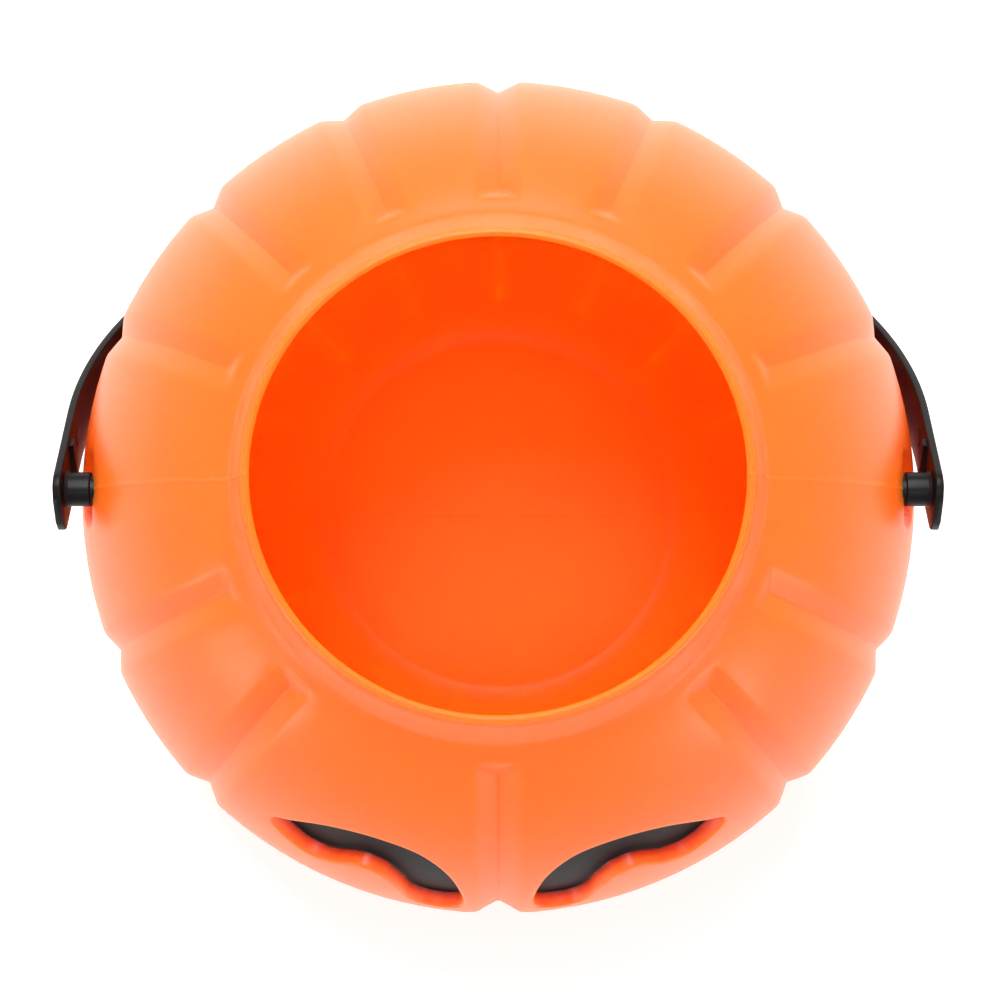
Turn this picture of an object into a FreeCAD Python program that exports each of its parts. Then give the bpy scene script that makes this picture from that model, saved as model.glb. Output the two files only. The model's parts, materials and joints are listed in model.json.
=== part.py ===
import FreeCAD, Part
import math
import os
import Sketcher
from FreeCAD import Placement, Rotation, Vector

# A pumpkin-shaped treat pail: one blow-moulded shell, painted face films and a strap handle
# that snaps into the two side walls. Millimetres, +Z up, origin at the centre of the foot.
# The face looks towards -Y, and the handle turns about a line parallel to X.

SIZES = {
    # body of revolution: a shoulder arc and a lower arc that meet at the belly
    "belly_radius": 108.0,
    "belly_height": 88.0,
    "shoulder_arc": 80.0,
    "lower_arc": 93.9,
    "rim_height": 172.0,
    "neck_top": 59.2,
    "neck_root": 63.0,
    "mouth_radius": 56.8,
    "wall": 1.8,
    # foot ring and pushed-up base
    "foot_inner": 50.5,
    "foot_outer": 53.5,
    "foot_rise": 3.0,
    "base_radius": 46.0,
    "base_push": 3.0,
    # grooves between the lobes
    "groove_depth": 2.7,
    "groove_half": 5.0,
    "groove_clear": 2.0,
    "groove_up": 57.5,
    "groove_down": 57.0,
    "groove_margin": 2.2,
    # face recesses and the paint on their floors
    "recess_depth": 4.4,
    "paint_thick": 0.25,
    # flat pads that the studs run on, and their holes
    "stud_height": 118.0,
    "pad_face": 101.4,
    "pad_radius": 9.5,
    "hole_radius": 3.6,
    # strap handle, in its own plane, with the stud axis along X
    "strap_inside": 108.0,
    "strap_thick": 2.0,
    "strap_width": 16.5,
    "strap_arm": 22.0,
    "strap_end": 9.0,
    "strap_corner": 4.5,
    "strap_drop": 49.0,
    "stud_radius": 4.3,
    "stud_gap": 0.4,
    "head_gap": 2.0,
    "neck_radius": 3.5,
    "head_radius": 4.7,
    "head_length": 2.8,
    "rib_place": 9.0,
    "rib_wide": 3.4,
    "rib_tall": 1.0,
}

# Compass places of the grooves, in degrees from the back of the pail towards its left side.
# The two side lobes and the two lobes that carry the eyes are twice as wide as the others.
GROOVE_TURNS = (0.0, 22.5, 45.0, 67.5, 112.5, 135.0, 180.0, 225.0, 247.5, 292.5, 315.0, 337.5)

doc = FreeCAD.newDocument("pumpkin_pail")


class Size:
    """A number together with the expression that binds it to the sheet."""

    def __init__(self, value, text):
        self.value = float(value)
        self.text = text

    def joined(self, other, sign, value):
        text = other.text if isinstance(other, Size) else repr(float(other))
        return Size(value, "(%s %s %s)" % (self.text, sign, text))

    def __add__(self, other):
        return self.joined(other, "+", self.value + number(other))

    def __sub__(self, other):
        return self.joined(other, "-", self.value - number(other))

    def __mul__(self, other):
        return self.joined(other, "*", self.value * number(other))

    def __neg__(self):
        return Size(-self.value, "(-1 * %s)" % self.text)


def number(item):
    return item.value if isinstance(item, Size) else float(item)


def root(item):
    return Size(math.sqrt(item.value), "sqrt(%s)" % item.text)


def fixed(value):
    return Size(value, repr(float(value)))


def named(alias):
    return Size(SIZES[alias], "sizes.%s" % alias)


def make_sheet():
    sheet = doc.addObject("Spreadsheet::Sheet", "sizes")
    for row, (alias, value) in enumerate(SIZES.items(), start=1):
        sheet.set("A%d" % row, alias.replace("_", " "))
        sheet.set("B%d" % row, str(value))
        sheet.setAlias("B%d" % row, alias)
    doc.recompute()


# ---------------------------------------------------------------- sketch helpers

def plane_of(body, role):
    return [f for f in body.Origin.OriginFeatures if f.Role == role][0]


def body_sketch(body, role, name, offset=None):
    sketch = body.newObject("Sketcher::SketchObject", name)
    sketch.AttachmentSupport = [(plane_of(body, role), "")]
    sketch.MapMode = "FlatFace"
    if offset is not None:
        sketch.AttachmentOffset = offset
    return sketch


def bind(sketch, constraint, size):
    """Add a constraint that takes its value from the sheet."""
    index = sketch.addConstraint(constraint)
    sketch.setExpression("Constraints[%d]" % index, size.text)


def pin_point(sketch, geo, end, point):
    """Hold one end of a line or arc at its two sizes from the sketch's origin."""
    for kind, size in (("DistanceX", point[0]), ("DistanceY", point[1])):
        if size.value == 0.0:
            axis = -2 if kind == "DistanceX" else -1
            sketch.addConstraint(Sketcher.Constraint("PointOnObject", geo, end, axis))
        else:
            bind(sketch, Sketcher.Constraint(kind, -1, 1, geo, end, size.value), size)


def arc_geometry(start, end, radius, left):
    """The arc between two points whose centre lies left or right of the way along."""
    a = Vector(start[0].value, start[1].value, 0)
    b = Vector(end[0].value, end[1].value, 0)
    chord = b - a
    half = chord.Length / 2.0
    side = Vector(-chord.y, chord.x, 0).normalize() * (1.0 if left else -1.0)
    centre = (a + b) * 0.5 + side * math.sqrt(radius * radius - half * half)
    angle_a = math.atan2(a.y - centre.y, a.x - centre.x)
    angle_b = math.atan2(b.y - centre.y, b.x - centre.x)
    circle = Part.Circle(centre, Vector(0, 0, 1), radius)
    if left:
        return Part.ArcOfCircle(circle, angle_a, angle_b), 1, 2
    return Part.ArcOfCircle(circle, angle_b, angle_a), 2, 1


def draw_outline(sketch, start, steps):
    """Closed outline: each step is (point,) for a line or (point, radius, centre_is_left)."""
    here = start
    first = None
    previous = None
    for step in steps:
        point = step[0]
        if len(step) == 1:
            shape = Part.LineSegment(Vector(here[0].value, here[1].value, 0),
                                     Vector(point[0].value, point[1].value, 0))
            begin, finish = 1, 2
        else:
            shape, begin, finish = arc_geometry(here, point, step[1].value, step[2])
        geo = sketch.addGeometry(shape, False)
        if previous is None:
            first = (geo, begin)
        else:
            sketch.addConstraint(Sketcher.Constraint("Coincident", previous[0], previous[1], geo, begin))
        if len(step) == 3:
            bind(sketch, Sketcher.Constraint("Radius", geo, step[1].value), step[1])
        pin_point(sketch, geo, finish, point)
        previous = (geo, finish)
        here = point
    sketch.addConstraint(Sketcher.Constraint("Coincident", previous[0], previous[1], first[0], first[1]))


def ordered(sketch_owner):
    doc.recompute()
    if not sketch_owner.Shape.isValid():
        raise RuntimeError(sketch_owner.Name + " is not valid")


# ---------------------------------------------------------------- the body of revolution

def arc_reach(arc, height, inset):
    """Radius of the inset body where one of its two arcs passes a height."""
    belly = named("belly_radius")
    radius = named(arc) - inset
    fall = height - named("belly_height")
    return belly - named(arc) + root(radius * radius - fall * fall)


def revolved_body(name, inset, open_top):
    """Solid inside the body's outline, moved inwards by inset; open_top carries it out of the mouth."""
    zero = fixed(0)
    belly = (named("belly_radius") - inset, named("belly_height"))
    low = named("foot_rise") + inset * 1.5
    root_height = named("belly_height") + root(
        (named("shoulder_arc") - inset) * (named("shoulder_arc") - inset)
        - (named("neck_root") - inset - named("belly_radius") + named("shoulder_arc"))
        * (named("neck_root") - inset - named("belly_radius") + named("shoulder_arc")))
    if open_top:
        neck = named("mouth_radius")
        top = named("rim_height") + 6
    else:
        neck = named("neck_top") - inset
        top = named("rim_height") - inset
    body = doc.addObject("PartDesign::Body", name)
    sketch = body_sketch(body, "XZ_Plane", name + "_outline")
    steps = [
        ((named("base_radius"), named("base_push") + inset),),
        ((named("foot_inner") + inset * 0.5, inset),),
        ((named("foot_outer") - inset * 0.3, inset),),
        ((arc_reach("lower_arc", low, inset), low),),
        (belly, named("lower_arc") - inset, True),
        ((named("neck_root") - inset, root_height), named("shoulder_arc") - inset, True),
        ((neck, top),),
        ((zero, top),),
        ((zero, named("base_push") + inset),),
    ]
    draw_outline(sketch, (zero, named("base_push") + inset), steps)
    turned = body.newObject("PartDesign::Revolution", name + "_turned")
    turned.Profile = sketch
    turned.ReferenceAxis = (sketch, ["V_Axis"])
    turned.Angle = 360.0
    body.Tip = turned
    ordered(body)
    return body


def cut_grooves(body, inset):
    """V grooves along the meridians: each is a triangle turned about its arc's centre."""
    depth = named("groove_depth")
    clear = named("groove_clear")
    for index, turn in enumerate(GROOVE_TURNS):
        for arc, sweep, upwards in (("shoulder_arc", "groove_up", True), ("lower_arc", "groove_down", False)):
            centre = named("belly_radius") - named(arc)
            heading = math.radians(90.0 + turn)
            place = Placement(Vector(centre.value * math.cos(heading), centre.value * math.sin(heading),
                                     SIZES["belly_height"]), Rotation(Vector(0, 0, 1), 90.0 + turn))
            name = "%s_groove_%d_%s" % (body.Name, index, "up" if upwards else "down")
            sketch = body_sketch(body, "XY_Plane", name + "_section", place)
            apex = named(arc) - inset - depth
            outside = named(arc) - inset + clear
            half = Size(SIZES["groove_half"] * (1.0 + clear.value / depth.value),
                        "(sizes.groove_half * (1 + sizes.groove_clear / sizes.groove_depth))")
            draw_outline(sketch, (apex, fixed(0)),
                         [((outside, -half),), ((outside, half),), ((apex, fixed(0)),)])
            groove = body.newObject("PartDesign::Groove", name)
            groove.Profile = sketch
            groove.ReferenceAxis = (sketch, ["V_Axis"])
            longer = "" if inset.value == 0.0 else " + sizes.groove_margin"
            groove.setExpression("Angle", "sizes.%s%s" % (sweep, longer))
            groove.Reversed = upwards
            body.Tip = groove
    ordered(body)


# ---------------------------------------------------------------- the face

def eye_outline():
    """Right eye in the front view, as across and up: a leaning almond with a hump in its lower lid."""
    p = [(fixed(x), fixed(z)) for x, z in (
        (54.5, 123.5), (11.5, 126.5), (10.5, 112.0), (15.0, 107.0), (21.0, 108.5),
        (25.0, 120.0), (36.0, 122.8), (41.0, 117.5), (48.0, 118.5))]
    return p[0], [
        (p[1], fixed(26.5), True),
        (p[2],),
        (p[3], fixed(5.5), True),
        (p[4],),
        (p[5],),
        (p[6], fixed(5.8), False),
        (p[7],),
        (p[8],),
        (p[0],),
    ]


def nose_outline():
    """A small rounded triangle below the eyes, on the middle groove."""
    p = [(fixed(x), fixed(z)) for x, z in ((3.0, 104.0), (-3.0, 104.0), (-10.5, 90.0), (-8.0, 86.0),
                                           (8.0, 86.0), (10.5, 90.0))]
    return p[0], [
        (p[1], fixed(3.4), True),
        (p[2],),
        (p[3], fixed(2.8), True),
        (p[4],),
        (p[5], fixed(2.8), True),
        (p[0],),
    ]


def mouth_outline():
    """A wide grin with one square tooth above and two below."""
    half = [(58.0, 75.0), (30.0, 66.0), (9.0, 63.5), (9.0, 55.0)]
    lower = [(12.0, 38.0), (14.0, 47.5), (29.0, 50.5), (32.0, 43.5)]
    left = [(-x, z) for x, z in half]
    right = [(x, z) for x, z in reversed(half)]
    under = [(x, z) for x, z in reversed(lower)] + [(-x, z) for x, z in lower]
    points = [(fixed(x), fixed(z)) for x, z in left + right + under]
    return points[0], [(point,) for point in points[1:] + points[:1]]


def face_prism(name, outline, margin):
    """Prism that leaves the middle plane of the pail through the outline, grown by margin."""
    sketch = doc.addObject("Sketcher::SketchObject", name + "_outline")
    sketch.Placement = Placement(Vector(0, 0, 0), Rotation(Vector(1, 0, 0), 90.0))
    draw_outline(sketch, outline[0], outline[1])
    doc.recompute()
    source = sketch
    if margin is not None:
        grown = doc.addObject("Part::Offset2D", name + "_grown")
        grown.Source = sketch
        grown.Join = 0
        grown.setExpression("Value", margin)
        source = grown
    prism = doc.addObject("Part::Extrusion", name)
    prism.Base = source
    prism.DirMode = "Custom"
    prism.Dir = Vector(0, -1, 0)
    prism.setExpression("LengthFwd", "sizes.belly_radius + 12")
    prism.Solid = True
    doc.recompute()
    return prism


def mirrored(name, source):
    twin = doc.addObject("Part::Mirroring", name)
    twin.Source = source
    twin.Normal = Vector(1, 0, 0)
    return twin


def face_prisms(prefix, margin):
    """The four prisms of the face, by feature."""
    right_eye = face_prism(prefix + "_right_eye", eye_outline(), margin)
    return {
        "right_eye": right_eye,
        "left_eye": mirrored(prefix + "_left_eye", right_eye),
        "nose": face_prism(prefix + "_nose", nose_outline(), margin),
        "mouth": face_prism(prefix + "_mouth", mouth_outline(), margin),
    }


# ---------------------------------------------------------------- booleans

def cut(name, base, tool):
    result = doc.addObject("Part::Cut", name)
    result.Base = base
    result.Tool = tool
    return result


def fuse(name, shapes):
    result = doc.addObject("Part::MultiFuse", name)
    result.Shapes = shapes
    return result


def common(name, shapes):
    result = doc.addObject("Part::MultiCommon", name)
    result.Shapes = shapes
    return result


def side_cylinder(name, radius, start, length, side):
    """Cylinder on the stud axis, from a distance out on one side."""
    rod = doc.addObject("Part::Cylinder", name)
    rod.setExpression("Radius", radius)
    rod.setExpression("Height", length)
    rod.Placement = Placement(Vector(0, 0, 0), Rotation(Vector(0, 1, 0), 90.0 * side))
    rod.setExpression("Placement.Base.x", "%d * (%s)" % (side, start))
    rod.setExpression("Placement.Base.z", "sizes.stud_height")
    return rod


def make_pail():
    """The shell and the four paint films."""
    wall = named("wall")
    outer = revolved_body("pail_outer", fixed(0), False)
    cut_grooves(outer, fixed(0))
    hollow = revolved_body("pail_hollow", wall, True)
    cut_grooves(hollow, wall)
    floor = revolved_body("recess_floor", named("recess_depth"), False)
    paint_top = revolved_body("paint_top", named("recess_depth") - named("paint_thick"), False)
    floor_back = revolved_body("recess_back", named("recess_depth") + wall, False)

    recess = face_prisms("recess", None)
    bulge = face_prisms("bulge", "sizes.wall")
    pads_out = []
    pads_in = []
    holes = []
    for side, word in ((1, "right"), (-1, "left")):
        pads_out.append(side_cylinder(word + "_pad", "sizes.pad_radius", "sizes.pad_face", "20", side))
        pads_in.append(side_cylinder(word + "_pad_back", "sizes.pad_radius + sizes.wall",
                                     "sizes.pad_face - sizes.wall", "20", side))
        holes.append(side_cylinder(word + "_hole", "sizes.hole_radius", "sizes.pad_face - 10", "20", side))

    outer_tools = fuse("outer_tools", [cut("recess_space", fuse("recess_prisms", list(recess.values())), floor)]
                       + pads_out)
    hollow_tools = fuse("hollow_tools", [cut("bulge_space", fuse("bulge_prisms", list(bulge.values())),
                                             floor_back)] + pads_in)
    skin = cut("skin", outer, outer_tools)
    space = cut("space", hollow, hollow_tools)
    shell = cut("shell", skin, fuse("openings", [space] + holes))
    shell.Label = "pail_shell"

    film_ring = cut("film_ring", paint_top, floor)
    films = []
    for feature, prism in recess.items():
        film = common(feature + "_film", [prism, film_ring])
        film.Label = feature + "_paint"
        films.append(film)
    doc.recompute()
    return [shell] + films


# ---------------------------------------------------------------- the strap handle

def stud_profile(side):
    """Half section of one snap stud along the stud axis: boss, neck and tapered snap head."""
    inside = named("strap_inside")
    face = named("pad_face") + named("stud_gap")
    back = named("pad_face") - named("wall") - named("head_gap")
    tip = back - named("head_length")
    zero = fixed(0)
    points = [
        (inside + 0.6, zero),
        (inside + 0.6, named("stud_radius")),
        (face, named("stud_radius")),
        (face, named("neck_radius")),
        (back, named("neck_radius")),
        (back, named("head_radius")),
        (back - 0.8, named("head_radius")),
        (tip, named("neck_radius") - 0.8),
        (tip, zero),
    ]
    if side < 0:
        points = [(-x, z) for x, z in points]
    return points[0], [(point,) for point in points[1:] + points[:1]]


def make_handle():
    """Strap with its studs and cross ribs; its own XY plane is the strap's plane."""
    body = doc.addObject("PartDesign::Body", "handle_strap")
    inside = named("strap_inside")
    outside = inside + named("strap_thick")
    arm = named("strap_arm")
    end = -named("strap_end")
    band = body_sketch(body, "XY_Plane", "strap_outline")
    draw_outline(band, (outside, end), [
        ((outside, arm),),
        ((fixed(0), arm + outside), outside, True),
        ((-outside, arm), outside, True),
        ((-outside, end),),
        ((-inside, end),),
        ((-inside, arm),),
        ((fixed(0), arm + inside), inside, False),
        ((inside, arm), inside, False),
        ((inside, end),),
        ((outside, end),),
    ])
    strap = body.newObject("PartDesign::Pad", "strap")
    strap.Profile = band
    strap.SideType = "Symmetric"
    strap.setExpression("Length", "sizes.strap_width")
    body.Tip = strap
    doc.recompute()

    for side, word in ((1, "right"), (-1, "left")):
        section = body_sketch(body, "XY_Plane", word + "_stud_section")
        start, steps = stud_profile(side)
        draw_outline(section, start, steps)
        stud = body.newObject("PartDesign::Revolution", word + "_stud")
        stud.Profile = section
        stud.ReferenceAxis = (section, ["H_Axis"])
        stud.Angle = 360.0
        body.Tip = stud

        rib_outline = body_sketch(body, "XY_Plane", word + "_rib_outline")
        near = inside - named("rib_tall")
        far = inside + 0.5
        if side < 0:
            near = -near
            far = -far
        low = named("rib_place")
        high = low + named("rib_wide")
        draw_outline(rib_outline, (near, low), [((near, high),), ((far, high),), ((far, low),), ((near, low),)])
        rib = body.newObject("PartDesign::Pad", word + "_rib")
        rib.Profile = rib_outline
        rib.SideType = "Symmetric"
        rib.setExpression("Length", "sizes.strap_width - 3")
        body.Tip = rib
    doc.recompute()

    corners = []
    for count, edge in enumerate(body.Shape.Edges, start=1):
        box = edge.BoundBox
        thin = abs(box.XLength - SIZES["strap_thick"]) < 0.01 and box.YLength < 0.01 and box.ZLength < 0.01
        if thin and abs(box.YMin + SIZES["strap_end"]) < 0.01:
            corners.append("Edge%d" % count)
    whole = body.Tip
    rounding = body.newObject("PartDesign::Fillet", "strap_corners")
    rounding.Base = (whole, corners)
    rounding.setExpression("Radius", "sizes.strap_corner")
    body.Tip = rounding
    body.Placement = Placement(Vector(0, 0, SIZES["stud_height"]), Rotation(Vector(1, 0, 0), -SIZES["strap_drop"]))
    body.setExpression("Placement.Base.z", "sizes.stud_height")
    doc.recompute()
    body.Label = "handle_strap"
    return body


# ---------------------------------------------------------------- checks and export

def check_document(pieces):
    for item in doc.Objects:
        if "Invalid" in item.State or "Error" in item.State:
            raise RuntimeError("%s failed: %s" % (item.Name, item.State))
    for piece in pieces:
        shape = piece.Shape
        if shape.isNull() or not shape.isValid() or not shape.Solids:
            raise RuntimeError(piece.Label + " has no valid solid")
        print("%-18s solids %d  volume %.1f" % (piece.Label, len(shape.Solids), shape.Volume))


def main():
    make_sheet()
    pieces = make_pail() + [make_handle()]
    doc.recompute()
    check_document(pieces)
    os.makedirs("parts", exist_ok=True)
    for piece in pieces:
        piece.Shape.exportStep("parts/%s.step" % piece.Label)


main()
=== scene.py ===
import json
import math

import bmesh
import bpy
import numpy as np
from mathutils import Matrix, Vector
from mathutils.geometry import delaunay_2d_cdt


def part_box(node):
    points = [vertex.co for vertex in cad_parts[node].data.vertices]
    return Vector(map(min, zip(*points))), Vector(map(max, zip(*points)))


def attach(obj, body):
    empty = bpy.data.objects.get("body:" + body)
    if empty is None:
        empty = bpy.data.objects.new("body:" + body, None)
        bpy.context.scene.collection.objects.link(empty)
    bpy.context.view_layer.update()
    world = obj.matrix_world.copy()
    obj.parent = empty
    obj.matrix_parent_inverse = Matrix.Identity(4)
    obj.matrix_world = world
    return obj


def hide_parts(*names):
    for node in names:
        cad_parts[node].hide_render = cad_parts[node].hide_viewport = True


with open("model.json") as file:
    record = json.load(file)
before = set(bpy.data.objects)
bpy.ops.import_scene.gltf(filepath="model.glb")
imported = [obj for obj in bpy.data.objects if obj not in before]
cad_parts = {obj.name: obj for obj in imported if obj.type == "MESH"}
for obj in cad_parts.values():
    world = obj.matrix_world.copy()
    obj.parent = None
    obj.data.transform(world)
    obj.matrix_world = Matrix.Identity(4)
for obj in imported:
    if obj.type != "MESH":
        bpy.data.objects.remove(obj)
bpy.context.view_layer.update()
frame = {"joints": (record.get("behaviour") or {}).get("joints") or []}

bl_info = {
    "name": "Pumpkin Treat Pail",
    "version": (1, 0, 0),
    "blender": (4, 5, 0),
    "location": "View3D > Sidebar > Treat Pail",
    "description": "Builds a blow-moulded pumpkin treat pail with painted face recesses and a strap handle",
    "category": "Add Mesh",
}

MM = 0.001
SHELL_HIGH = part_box("pail_shell")[1]
STUD_AXIS = Vector(frame["joints"][0]["pos_m"])

# Mould parting line, in degrees from the back towards the pail's left side.
SEAMS = (90.0, 270.0)

# Grooves between the lobes: degrees from the back towards the pail's left side, and depth.
# The two side lobes and the two lobes that carry the eyes are twice as wide as the others.
GROOVES = (
    (0.0, 2.9 * MM), (22.5, 2.2 * MM), (45.0, 2.6 * MM), (67.5, 1.9 * MM), (112.5, 2.3 * MM),
    (135.0, 2.8 * MM), (180.0, 3.0 * MM), (225.0, 2.8 * MM), (247.5, 2.3 * MM), (292.5, 1.9 * MM),
    (315.0, 2.6 * MM), (337.5, 2.2 * MM),
)


# ------------------------------------------------------------------ settings

def length(name, description, default):
    return bpy.props.FloatProperty(name=name, description=description, default=default, min=0.0,
                                   unit="LENGTH", subtype="DISTANCE", precision=5)


def colour(name, description, code):
    return bpy.props.StringProperty(name=name, description=description, default=code)


class TreatPailShell(bpy.types.PropertyGroup):
    """Sizes of the moulded shell"""
    belly_radius: length("Belly radius", "Widest radius of the body", SHELL_HIGH.x)
    rim_height: length("Rim height", "Height of the trimmed mouth edge", SHELL_HIGH.z)
    belly_height: length("Belly height", "Height of the widest place", 88 * MM)
    shoulder_arc: length("Shoulder arc", "Radius of the arc from belly to neck", 80 * MM)
    lower_arc: length("Lower arc", "Radius of the arc from foot to belly", 93.9 * MM)
    neck_root: length("Neck root", "Radius where the neck leaves the shoulder", 63 * MM)
    neck_top: length("Neck top", "Outer radius at the trimmed edge", 59.2 * MM)
    wall: length("Wall", "Thickness of the moulded wall", 1.8 * MM)
    foot_radius: length("Foot radius", "Middle radius of the ring it stands on", 52 * MM)
    base_push: length("Base push-up", "How far the base stands above the foot ring", 3.0 * MM)
    groove_half: length("Groove half width", "Half the width of a groove at the surface", 5.6 * MM)
    groove_ramp: length("Groove end", "Length over which a groove runs out at its ends", 3.6 * MM)
    recess_depth: length("Recess depth", "Depth of the eyes, nose and mouth", 4.4 * MM)
    seam_height: length("Seam height", "Height of the mould's parting line on the wall", 0.22 * MM)
    seam_half: length("Seam half width", "Half the width of the parting line", 0.6 * MM)
    pad_face: length("Pad face", "From the middle plane to the flats under the studs", 101.4 * MM)
    pad_radius: length("Pad radius", "Radius of the flats under the studs", 9.5 * MM)
    paint_thick: length("Paint thickness", "Thickness of the black paint film", 0.15 * MM)


class TreatPailHandle(bpy.types.PropertyGroup):
    """Sizes of the strap handle"""
    inside: length("Inside radius", "From the middle plane to the strap's inner face", 108 * MM)
    thick: length("Thickness", "Strap thickness", 2.0 * MM)
    width: length("Width", "Strap width", 16.5 * MM)
    arm: length("Arm", "Straight length from the stud to the start of the bow", 22 * MM)
    end: length("End", "How far the strap runs past the stud axis", 9.0 * MM)
    corner: length("Corner", "Rounding of the strap's end corners", 4.5 * MM)
    drop: bpy.props.FloatProperty(name="Drop", description="Angle of the folded strap below level",
                                  default=math.radians(49.0), subtype="ANGLE")


class TreatPailFinish(bpy.types.PropertyGroup):
    """Colours of the finishes, as sRGB hex codes"""
    orange: colour("Orange", "Pigmented polyethylene of the shell", "#FF6715")
    black: colour("Black", "Pigmented polyethylene of the strap", "#0B0A0A")
    paint: colour("Paint", "Matt black paint in the face recesses", "#0C090A")
    floor: colour("Floor", "Plain pale floor", "#F2F2F2")


class TreatPailStage(bpy.types.PropertyGroup):
    """Camera placement and lens"""
    camera_distance: length("Camera distance", "From the mouth to the camera", 600 * MM)
    lean: bpy.props.FloatProperty(name="Lean", description="How far the camera stands to the front",
                                  default=math.radians(3.97), subtype="ANGLE")
    tilt: bpy.props.FloatProperty(name="Tilt", description="How far the camera looks to the back",
                                  default=math.radians(3.384), subtype="ANGLE")
    lens: bpy.props.FloatProperty(name="Lens", description="Focal length on a 36 mm sensor", default=93.8)


# ------------------------------------------------------------------ small tools

def linear(code):
    """sRGB hex code to a linear RGBA colour."""
    parts = [int(code[i:i + 2], 16) / 255 for i in (1, 3, 5)]
    return [p / 12.92 if p <= 0.04045 else ((p + 0.055) / 1.055) ** 2.4 for p in parts] + [1.0]


def add_node(tree, kind, settings=None, links=None):
    """Adds a node; settings are attributes or socket values, links are socket name or index to output."""
    node = tree.nodes.new(kind)
    for key, value in (settings or {}).items():
        if isinstance(key, str) and hasattr(node, key):
            setattr(node, key, value)
        else:
            node.inputs[key].default_value = value
    for key, output in (links or {}).items():
        tree.links.new(output, node.inputs[key])
    return node


def new_material(name):
    material = bpy.data.materials.new(name)
    material.use_nodes = True
    material.node_tree.nodes.clear()
    return material, material.node_tree


def finish_material(tree, shader):
    add_node(tree, "ShaderNodeOutputMaterial", links={"Surface": shader.outputs[0]})


def new_mesh(name, points, faces, material, attributes=None, smooth=True):
    mesh = bpy.data.meshes.new(name)
    mesh.from_pydata([tuple(p) for p in points], [], [tuple(f) for f in faces])
    mesh.update()
    mesh.polygons.foreach_set("use_smooth", [smooth] * len(mesh.polygons))
    for key, values in (attributes or {}).items():
        layer = mesh.attributes.new(key, "FLOAT", "POINT")
        layer.data.foreach_set("value", np.asarray(values, np.float32))
    piece = bpy.data.objects.new(name, mesh)
    bpy.context.scene.collection.objects.link(piece)
    mesh.materials.append(material)
    return piece


def thinned(path, wide, fine, height):
    """The path with points at least wide apart, or fine apart above a height and in the foot's corner."""
    kept = [path[0]]
    for place in path[1:-1]:
        gap = np.linalg.norm(place - kept[-1])
        in_foot = place[1] < 9 * MM and place[0] > 40 * MM
        if gap >= (fine if place[1] > height or in_foot else wide):
            kept.append(place)
    return np.array(kept + [path[-1]])


def smooth_step(t):
    t = np.clip(t, 0.0, 1.0)
    return t * t * (3.0 - 2.0 * t)


def rounded(points, radii, steps=6):
    """Open path with its inner corners rounded to the given radii."""
    out = [np.array(points[0], float)]
    for i in range(1, len(points) - 1):
        a, b, c = (np.array(points[j], float) for j in (i - 1, i, i + 1))
        radius = radii[i - 1]
        u = (a - b) / np.linalg.norm(a - b)
        v = (c - b) / np.linalg.norm(c - b)
        half = math.acos(float(np.clip(u @ v, -1, 1))) / 2.0
        if radius <= 0.0 or half > math.radians(89.0):
            out.append(b)
            continue
        reach = min(radius / math.tan(half), 0.49 * np.linalg.norm(a - b), 0.49 * np.linalg.norm(c - b))
        radius = reach * math.tan(half)
        centre = b + (u + v) / np.linalg.norm(u + v) * radius / math.sin(half)
        start, end = b + u * reach - centre, b + v * reach - centre
        turn = math.atan2(start[0] * end[1] - start[1] * end[0], start @ end)
        for k in range(steps + 1):
            angle = turn * k / steps
            spin = np.array([[math.cos(angle), -math.sin(angle)], [math.sin(angle), math.cos(angle)]])
            out.append(centre + spin @ start)
    out.append(np.array(points[-1], float))
    return np.array(out)


def resampled(path, spacing):
    """The path with points evenly spaced along it."""
    gaps = np.linalg.norm(np.diff(path, axis=0), axis=1)
    along = np.concatenate([[0.0], np.cumsum(gaps)])
    count = max(2, int(round(along[-1] / spacing)) + 1)
    want = np.linspace(0.0, along[-1], count)
    return np.stack([np.interp(want, along, path[:, k]) for k in range(path.shape[1])], 1)


# ------------------------------------------------------------------ the shell's section

def shoulder_height(shell, radius):
    """Height of the shoulder arc at a radius."""
    centre = shell.belly_radius - shell.shoulder_arc
    return shell.belly_height + math.sqrt(shell.shoulder_arc ** 2 - (radius - centre) ** 2)


def arc_points(across, up, radius, start, end, steps=61):
    """Points along an arc about a centre, without its first point."""
    return [(across + radius * math.cos(a), up + radius * math.sin(a))
            for a in np.linspace(start, end, steps + 1)[1:]]


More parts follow.
